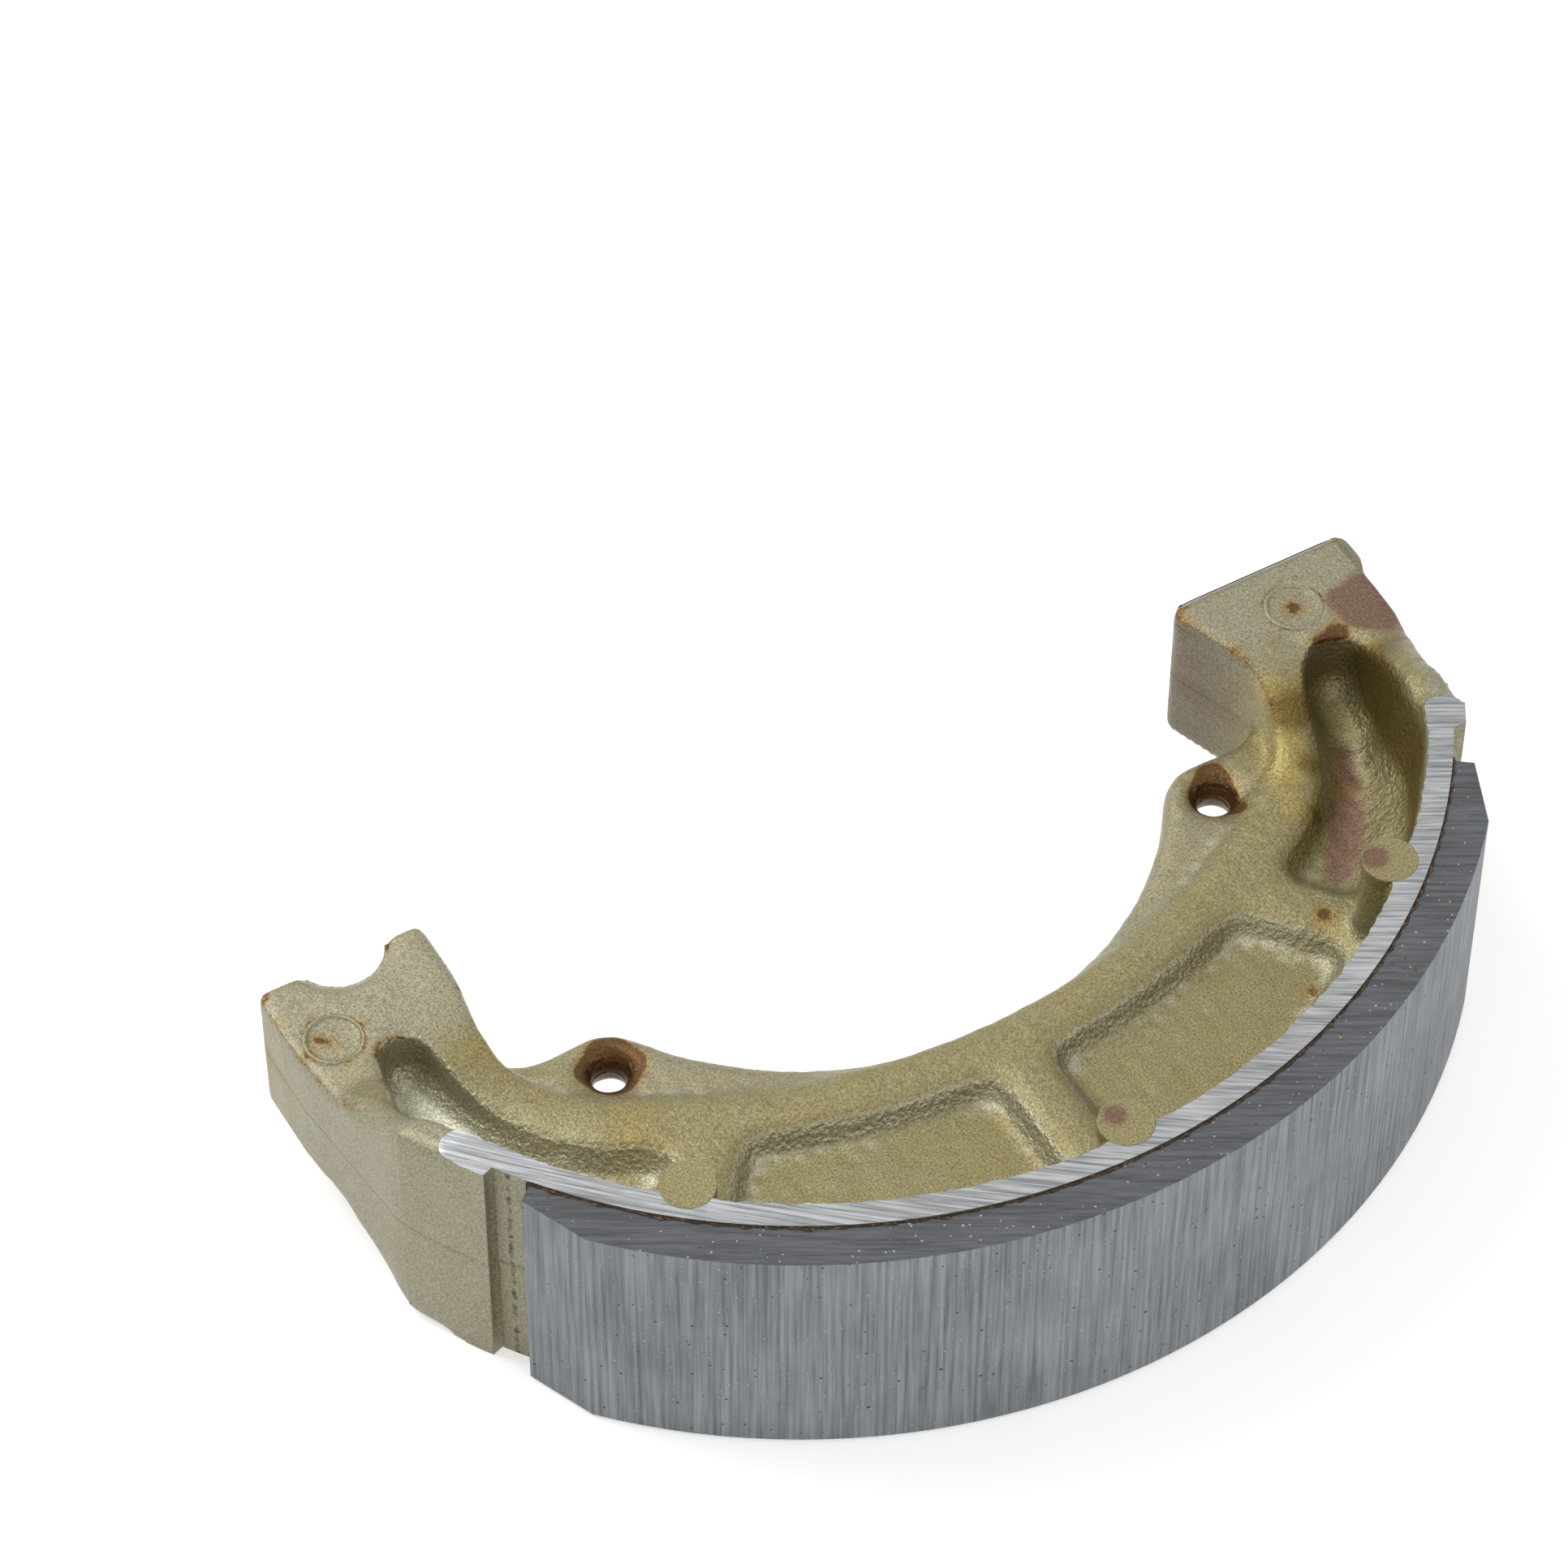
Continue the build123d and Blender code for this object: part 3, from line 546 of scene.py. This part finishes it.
    # flash line where the die halves met: a thin ridge at half height, broken by a noise
    lift = addNode(tree, "Math", {0: noise["blotch"], 1: 0.9, 2: -0.45}, operation="MULTIPLY_ADD").outputs[0]
    fromRidge = addNode(tree, "Math", {0: z, 1: lift}, operation="ADD").outputs[0]
    apart = addNode(tree, "Math", {0: fromRidge}, operation="ABSOLUTE").outputs[0]
    ridge = addNode(tree, "MapRange", {0: apart, 1: 0.45, 2: 0.0}, interpolation_type="SMOOTHSTEP").outputs[0]
    ridgeHeight = addNode(tree, "Math", {0: ridge, 1: 3.0}, operation="MULTIPLY").outputs[0]
    cast = addNode(tree, "Math", {0: noise["grain"], 1: ridgeHeight}, operation="ADD").outputs[0]
    # the steep walls are wrinkled like leather
    wallShare = addNode(tree, "Math", {0: plain["wall"], 1: casting["wrinkleShare"]}, operation="MULTIPLY").outputs[0]
    cast = addNode(tree, "Math", {0: noise["wrinkle"], 1: wallShare, 2: cast}, operation="MULTIPLY_ADD").outputs[0]
    relief = addNode(tree, "Mix", {0: plain["milled"], 2: cast, 3: tool}, data_type="FLOAT").outputs[0]
    bump = addNode(tree, "Bump", {"Height": relief, "Strength": 0.8, "Distance": casting["grainBump"] / 1000})
    tree.links.new(bump.outputs[0], shader.inputs["Normal"])
    return material


# where the coat's colours lie: a pair is the range over which one of them comes in, in millimetres unless named
# curve or break; a break is a range of a seeded wandering noise, given with its wavelength and seed
coat = {
    "edgeCurve": (0.12, 0.42),
    "edgeY": (-34, -24),
    "edgeBreak": (5.0, 9, -0.45, 0.1),
    "ring": (4.2, 0.45),            # radius and width
    "ringBreak": (5.0, 12, -0.35, 0.3),
    "topY": (-27, -17),
    "topHalf": (8.5, 10),
    "outerRim": (80.6, 81.6),
    "outerPad": (84, 86),
    "webRadii": (60, 54),
    "webHalf": 4.2,
    "steepTilt": (0.04, 0.3),       # 1 less the upright part of the normal
    "wallRadii": (52, 81),
    "cornerCurve": (0.08, 0.4),
    "cornerY": (-20, -25),
    "cornerX": (108, 120),
    "paleX": (108, 118),
    "blockSideX": (117, 118, 123, 126),
    "blockSideY": (-22, -17),
    "blockSideHalf": (11.8, 10.8),
    "blockBorder": (2.5, 2.1),
}
castingMaterial = makeCastingMaterial()
castingMesh = makeCastingMesh()
castingPoints = readPoints(castingMesh)
castX, castY, castZ = castingPoints.T
castHalf = np.abs(castZ)
fromDrum = np.hypot(castX - drumX, castY)
curve = bulge(castingMesh, castingPoints)


# breaks a stain up: 0 to 1 over a range of the wandering noise
def breakUp(wavelength, seed, low, high):
    return ramp(wander(castingPoints, wavelength, seed), low, high)


# amber lies along sharp edges, most on the two ends, and in rings about their disc marks
edge = 0.78 * ramp(curve, *coat["edgeCurve"]) * np.maximum(ramp(castY, *coat["edgeY"]), 0.25)
edge *= (1 - ramp(castHalf, 13, 16) * (fromDrum < 82)) * breakUp(*coat["edgeBreak"])
marks = [np.hypot(castX - x, castY - y) for x, y in (casting["forkMark"], casting["camMark"])]
radius, width = coat["ring"]
ringed = sum(np.exp(-((apart - radius) / width) ** 2) for apart in marks)
ringed *= 0.9 * (castZ > casting["endsAbove"]) * breakUp(*coat["ringBreak"])
stainAndSheen(castingMesh, castingPoints, np.maximum(edge, ringed))
# khaki on the flat tops of the ends, on the web and on the outer sides
endTops = ramp(castY, *coat["topY"]) * ramp(castHalf, *coat["topHalf"])
onWeb = 0.7 * ramp(fromDrum, *coat["webRadii"]) * (castY < -22) * (castHalf < coat["webHalf"])
outside = ramp(fromDrum, *coat["outerRim"])
khaki = np.maximum(np.maximum(endTops, outside), ramp(fromDrum, *coat["outerPad"]) + onWeb)
setAttribute(castingMesh, "khaki", np.clip(khaki, 0, 1) * 0.85)
# the steep faces between flange and rim
steep = ramp(1 - np.abs(readNormals(castingMesh)[:, 2]), *coat["steepTilt"])
steep = np.maximum(steep, 0.4 * (castHalf > 4.0) * (fromDrum > 56) * (castY < -22))
nearest, furthest = coat["wallRadii"]
wall = steep * (fromDrum < furthest) * (fromDrum > nearest) * (castHalf > 2.0)
setAttribute(castingMesh, "wall", wall)
# painted reflection: inside corners are painted paler, less so towards the cam, and so are the walls and the floor's
# edge at the anchor end
trough = [
    (-1.2, -20.6, 1.9, 3.4, 1.0), (0.4, -24.6, 1.9, 3.4, 1.0), (2.6, -29.0, 1.9, 3.4, 0.8),
    (6.2, -34.0, 1.9, 3.6, 0.6), (11.0, -39.4, 1.9, 3.6, 0.6),
]
corner = ramp(-curve, *coat["cornerCurve"]) * (1 - 0.8 * ramp(castX, *coat["cornerX"]))
corner *= (fromDrum < 80.4) * ramp(castY, *coat["cornerY"])
paleWall = 0.4 * ramp(wall, 0.4, 1.0) * (1 - ramp(castX, *coat["paleX"])) * (fromDrum < 79.5)
paintedGlint = np.maximum(np.maximum(0.55 * corner, 0.9 * spots(castingPoints, trough)), paleWall)
setAttribute(castingMesh, "paintedGlint", paintedGlint)
# painted shade: the cam block is painted duller on its inner side, and along a border of its top
start, full, fading, end = coat["blockSideX"]
innerSide = 0.9 * ramp(castX, start, full) * ramp(castX, end, fading)
innerSide *= ramp(castY, *coat["blockSideY"]) * ramp(castHalf, *coat["blockSideHalf"])
border = 0.65 * ramp(insideBlock(castX, castY), *coat["blockBorder"]) * ramp(castY, -15, -14)
border *= (castX > casting["blockLow"][0]) * (castZ > 10.8)
setAttribute(castingMesh, "paintedShade", np.maximum(innerSide, border))
# a face is milled where its middle lies at the cutter's height
centres = np.empty(3 * len(castingMesh.polygons), np.float32)
castingMesh.polygons.foreach_get("center", centres)
middleX, middleY, middleZ = centres.reshape(-1, 3).T * 1000
isMilled = np.abs(np.abs(middleZ) - casting["milledHalf"]) < 0.005
isMilled |= (np.abs(middleZ + casting["flatHalf"]) < 0.02) & onFlat(middleX, middleY)
setAttribute(castingMesh, "milled", isMilled.astype(float), "FACE")


# a new visible object with its material and body, and the node that it stands for, if any
def addPiece(name, mesh, material, replaced=None):
    piece = bpy.data.objects.new(name, mesh)
    bpy.context.scene.collection.objects.link(piece)
    dress(piece, material)
    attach(piece, "root")
    if replaced:
        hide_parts(replaced)


addPiece("relaxed_casting", castingMesh, castingMaterial, "shoe_casting")
print("casting made:", len(castingMesh.polygons), "faces")

# Ejector discs: each pin of the die left a flat round, with a thin flash around it
disc = {
    "sides": 96,
    "columnProfile": [
        (0.0, -0.03), (0.9, -0.03), (1.7, -0.03), (2.5, -0.03), (3.2, -0.03), (3.4, -0.02), (3.5, 0.0),
        (3.6, -0.05), (3.62, -0.5), (3.6, -2.2),
    ],
    "endProfile": [
        (0.0, -0.34), (0.8, -0.34), (1.6, -0.34), (2.4, -0.34), (3.1, -0.34), (3.38, -0.28), (3.5, -0.02),
        (3.62, 0.06), (3.8, 0.05), (4.1, -0.1), (4.1, -0.5),
    ],
    "columnHalf": 18.94,
    "columnRadius": 79.4,       # from the drum axis, where the three columns stand
    "columnAngles": (-130, -90, -50),
    "forkHalf": 10.35,
    "camTop": 12.25,
    "amber": [(-7.6, -13.6, 10.1, 2.4, 0.7), (135.5, -13.9, 12.0, 2.5, 0.9), (-9.6, -12.0, 10.1, 1.6, 0.6)],
}


# a profile of radius and height turned about Z: rings of points, and one fan at the middle
def turnProfile(profile, centre, level, side):
    sides = disc["sides"]
    angles = np.arange(sides) * 2 * np.pi / sides
    rings = [np.stack([r * np.cos(angles), r * np.sin(angles), np.full(sides, h)], axis=1) for r, h in profile[1:]]
    points = np.concatenate([[(0, 0, profile[0][1])], *rings])
    points = points * (1, 1, side) + (*centre, side * level)
    faces = []
    for k in range(sides):
        after = (k + 1) % sides
        faces.append((0, 1 + k, 1 + after))
        for ring in range(len(rings) - 1):
            low, high = 1 + ring * sides, 1 + (ring + 1) * sides
            faces.append((low + k, high + k, high + after, low + after))
    return points, faces if side > 0 else [f[::-1] for f in faces]


# several parts as one mesh
def joinParts(name, parts):
    points, faces, start = [], [], 0
    for partPoints, partFaces in parts:
        points.append(partPoints)
        faces += [tuple(start + i for i in f) for f in partFaces]
        start += len(partPoints)
    mesh = bpy.data.meshes.new(name)
    mesh.from_pydata((np.concatenate(points) / 1000).tolist(), [], faces)
    mesh.polygons.foreach_set("use_smooth", np.ones(len(faces), bool))
    return mesh


discParts = []
for turned in map(math.radians, disc["columnAngles"]):
    centre = (drumX + disc["columnRadius"] * math.cos(turned), disc["columnRadius"] * math.sin(turned))
    discParts += [turnProfile(disc["columnProfile"], centre, disc["columnHalf"], side) for side in (1, -1)]
discParts += [turnProfile(disc["endProfile"], casting["forkMark"], disc["forkHalf"], side) for side in (1, -1)]
discParts.append(turnProfile(disc["endProfile"], casting["camMark"], disc["camTop"], 1))
discMesh = joinParts("ejector_discs", discParts)
discPoints = readPoints(discMesh)
stainAndSheen(discMesh, discPoints, spots(discPoints, disc["amber"]))
setAttribute(discMesh, "khaki", 0.8 * (np.abs(discPoints[:, 2]) < 15))
addPiece("ejector_discs", discMesh, castingMaterial)
print("discs made")

# Lining: moulded friction composite, sawn on its sides and ground on its outer face
lining = {
    "ground": "#a6aaae",
    "groundDark": "#6f7377",
    "sawn": "#66696d",
    "sawnDark": "#454749",
    "speckPale": "#b9b7b0",
    "speckBrown": "#5a4234",
    "sideHalf": 18.43,
    "radius": 90.0,
    # noise cells a millimetre, across the lines and along them: the real lines are finer, so these are coarser
    "grindFine": (1.9, 0.04),
    "grindWide": (0.06, 0.05),
    "sawLines": (0.12, 2.0),
    "sawAngle": 30.0,
    # cells a millimetre, size as a share of a cell, colour, and a shift that sets the two layers apart
    "specks": [
        (0.6, 0.15, "speckBrown", (3.0, 7.0, 1.0)),
        (1.1, 0.17, "speckPale", (0.0, 0.0, 5.0)),
    ],
}


# a dry matt grey without highlights: ground lines along the face, saw marks across the sides
def makeLiningMaterial():
    material, tree, shader, inMm = startMaterial("moulded_friction_composite")
    x, y, z = addNode(tree, "SeparateXYZ", {0: inMm}).outputs
    fromAxis = addNode(tree, "Math", {0: x, 1: drumX}, operation="SUBTRACT").outputs[0]
    angle = addNode(tree, "Math", {0: y, 1: fromAxis}, operation="ARCTAN2").outputs[0]
    arc = addNode(tree, "Math", {0: angle, 1: lining["radius"]}, operation="MULTIPLY").outputs[0]

    # lines are a noise squeezed across them and drawn out along them
    def lines(place, scales, detail=3.0):
        squeezed = addNode(tree, "VectorMath", {0: place, 1: (*scales, 1.0)}, operation="MULTIPLY").outputs[0]
        sockets = {"Vector": squeezed, "Scale": 1.0, "Detail": detail, "Roughness": 0.65}
        return addNode(tree, "TexNoise", sockets).outputs[0]

    onFace = addNode(tree, "CombineXYZ", {0: arc, 1: z}).outputs[0]
    grindFine = lines(onFace, lining["grindFine"], 4.0)
    grindWide = lines(onFace, lining["grindWide"])
    grind = addNode(tree, "Math", {0: grindWide, 1: 0.35, 2: grindFine}, operation="MULTIPLY_ADD").outputs[0]
    ground = addNode(tree, "MapRange", {0: grind, 1: 0.5, 2: 0.85}).outputs[0]
    groundColours = {6: linear(lining["groundDark"]), 7: linear(lining["ground"])}
    groundTone = addNode(tree, "Mix", {0: ground, **groundColours}, data_type="RGBA").outputs[2]
    sawAngle = math.radians(lining["sawAngle"])
    saw = addNode(tree, "VectorRotate", {0: inMm, 3: sawAngle}, rotation_type="Z_AXIS").outputs[0]
    sawLines = lines(saw, lining["sawLines"])
    sawn = addNode(tree, "MapRange", {0: sawLines, 1: 0.35, 2: 0.65}).outputs[0]
    sawnColours = {6: linear(lining["sawnDark"]), 7: linear(lining["sawn"])}
    sawTone = addNode(tree, "Mix", {0: sawn, **sawnColours}, data_type="RGBA").outputs[2]
    high = addNode(tree, "Math", {0: z}, operation="ABSOLUTE").outputs[0]
    isSide = addNode(tree, "Math", {0: high, 1: lining["sideHalf"]}, operation="GREATER_THAN").outputs[0]
    tone = addNode(tree, "Mix", {0: isSide, 6: groundTone, 7: sawTone}, data_type="RGBA").outputs[2]

    # specks of filler: the middle of each cell, out to the size times a chance of its own
    def specks(scale, size, colour, under, offset):
        moved = addNode(tree, "VectorMath", {0: inMm, 1: offset}, operation="ADD").outputs[0]
        cells = addNode(tree, "TexVoronoi", {"Vector": moved, "Scale": scale})
        chance = addNode(tree, "SeparateXYZ", {0: cells.outputs["Color"]}).outputs[0]
        limit = addNode(tree, "Math", {0: chance, 1: size}, operation="MULTIPLY").outputs[0]
        inside = addNode(tree, "Math", {0: cells.outputs["Distance"], 1: limit}, operation="LESS_THAN").outputs[0]
        return addNode(tree, "Mix", {0: inside, 6: under, 7: linear(colour)}, data_type="RGBA").outputs[2]

    for scale, size, colour, offset in lining["specks"]:
        tone = specks(scale, size, lining[colour], tone, offset)
    tree.links.new(tone, shader.inputs["Base Color"])
    shader.inputs["Roughness"].default_value = 0.72
    relief = addNode(tree, "Mix", {0: isSide, 2: grindFine, 3: sawLines}, data_type="FLOAT").outputs[0]
    bump = addNode(tree, "Bump", {"Height": relief, "Strength": 0.6, "Distance": 0.00006})
    tree.links.new(bump.outputs[0], shader.inputs["Normal"])
    return material


dress(nodes["friction_lining"], makeLiningMaterial())

# Bond line: cured adhesive, dark brown and matt, with a crumbly bead along both edges of the rim
adhesive = {
    "brown": "#33241a",
    "pale": "#7c5c36",
    "roughness": 0.7,
    "beadMm": 0.2,
    "leastMm": 0.05,
    "stepMm": 0.24,
    "sides": 7,
    "endAngles": (-143.0, -37.0),
    "half": 18.5,
    "seeds": (21, 31),
}
filmMaterial, filmTree, filmShader, filmPlace = startMaterial("cured_phenolic_adhesive")
filmNoise = addNode(filmTree, "TexNoise", {"Vector": filmPlace, "Scale": 1.6, "Detail": 3.0}).outputs[0]
filmStep = addNode(filmTree, "MapRange", {0: filmNoise, 1: 0.52, 2: 0.66}).outputs[0]
filmColours = {6: linear(adhesive["brown"]), 7: linear(adhesive["pale"])}
filmTone = addNode(filmTree, "Mix", {0: filmStep, **filmColours}, data_type="RGBA").outputs[2]
filmTree.links.new(filmTone, filmShader.inputs["Base Color"])
filmShader.inputs["Roughness"].default_value = adhesive["roughness"]
dress(nodes["adhesive_film"], filmMaterial)


# a bead along an arc at one height: rings about a wandering line, whose radius wanders as well
def beadPart(level, seed):
    start, end = map(math.radians, adhesive["endAngles"])
    count = int((end - start) * rimOuter / adhesive["stepMm"])
    angles = np.linspace(start, end, count)
    outward = np.stack([np.cos(angles), np.sin(angles), np.zeros(count)], axis=1)
    path = rimOuter * outward + (drumX, 0, level)
    thick = adhesive["beadMm"] * (0.75 + 0.9 * wander(path, 1.7, seed) + 0.6 * wander(path, 0.6, seed + 1))
    aside = 0.2 + 0.35 * wander(path, 2.4, seed + 2)
    sides = adhesive["sides"]
    turns = np.arange(sides) * 2 * np.pi / sides
    thick = np.maximum(thick, adhesive["leastMm"])[:, None, None]
    across = thick * np.cos(turns)[None, :, None] + aside[:, None, None]
    up = thick * np.sin(turns)[None, :, None]
    rings = path[:, None, :] + across * outward[:, None, :] + up * np.array((0, 0, 1.0))
    faces = []
    for i in range(count - 1):
        for k in range(sides):
            after = (k + 1) % sides
            faces.append((i * sides + k, i * sides + after, (i + 1) * sides + after, (i + 1) * sides + k))
    return rings.reshape(-1, 3), faces


topSeed, bottomSeed = adhesive["seeds"]
beadParts = [beadPart(adhesive["half"], topSeed), beadPart(-adhesive["half"], bottomSeed)]
beadMesh = joinParts("bond_bead", beadParts)
addPiece("bond_bead", beadMesh, filmMaterial)
print("lining and bond dressed")

# Studio: pale floor, white surroundings, soft lamps
studio = {
    "floorHalf": 3.0,
    "floor": "#f4f4f4",
    "floorRoughness": 0.9,
    "floorGlow": 0.5,
    "world": 0.5,
    "middle": (0.068, -0.04, 0),
    "lamps": {"key": ((-0.25, 0.55, 0.9), 0.6, 6.3), "fill": ((0.42, -0.85, 0.5), 0.8, 1.8)},  # place, size, watts
}


# 1 for rays that the camera follows, straight on, off a glossy face or through a clear one, and 0 for lighting rays
def seenRays(tree):
    rays = addNode(tree, "LightPath").outputs
    seen = addNode(tree, "Math", {0: rays["Is Camera Ray"], 1: rays["Is Glossy Ray"]}, operation="MAXIMUM").outputs[0]
    return addNode(tree, "Math", {0: seen, 1: rays["Is Transmission Ray"]}, operation="MAXIMUM").outputs[0]


half = studio["floorHalf"]
corners = [(x, y, cadBox[0].z) for x, y in ((-half, -half), (half, -half), (half, half), (-half, half))]
floorMesh = bpy.data.meshes.new("floor")
floorMesh.from_pydata(corners, [], [(0, 1, 2, 3)])
floor = bpy.data.objects.new("floor", floorMesh)
bpy.context.scene.collection.objects.link(floor)
# matt white paper, which glows a little where it is seen, so that it stays paler than its lighting makes it
floorMaterial = bpy.data.materials.new("floor_paper")
floorMaterial.use_nodes = True
floorTree = floorMaterial.node_tree
floorShader = floorTree.nodes["Principled BSDF"]
floorShader.inputs["Base Color"].default_value = linear(studio["floor"])
floorShader.inputs["Roughness"].default_value = studio["floorRoughness"]
glow = addNode(floorTree, "Math", {0: seenRays(floorTree), 1: studio["floorGlow"]}, operation="MULTIPLY").outputs[0]
floorShader.inputs["Emission Color"].default_value = (1, 1, 1, 1)
floorTree.links.new(glow, floorShader.inputs["Emission Strength"])
floorMesh.materials.append(floorMaterial)

world = bpy.data.worlds.new("studio")
bpy.context.scene.world = world
world.use_nodes = True
worldTree = world.node_tree
background = worldTree.nodes["Background"]
brightness = {0: seenRays(worldTree), 2: studio["world"], 3: 1.0}
strength = addNode(worldTree, "Mix", brightness, data_type="FLOAT").outputs[0]
worldTree.links.new(strength, background.inputs["Strength"])
background.inputs["Color"].default_value = (1, 1, 1, 1)


# a square soft lamp that looks at the middle of the shoe
def addLamp(name, place, size, watts):
    data = bpy.data.lights.new(name, "AREA")
    data.size = size
    data.energy = watts
    lamp = bpy.data.objects.new(name, data)
    lamp.location = place
    away = Vector(place) - Vector(studio["middle"])
    lamp.rotation_euler = away.to_track_quat("Z", "Y").to_euler()
    bpy.context.scene.collection.objects.link(lamp)


for name, lampSettings in studio["lamps"].items():
    addLamp(name, *lampSettings)
bpy.context.scene.view_settings.view_transform = "Standard"
print("studio lit")
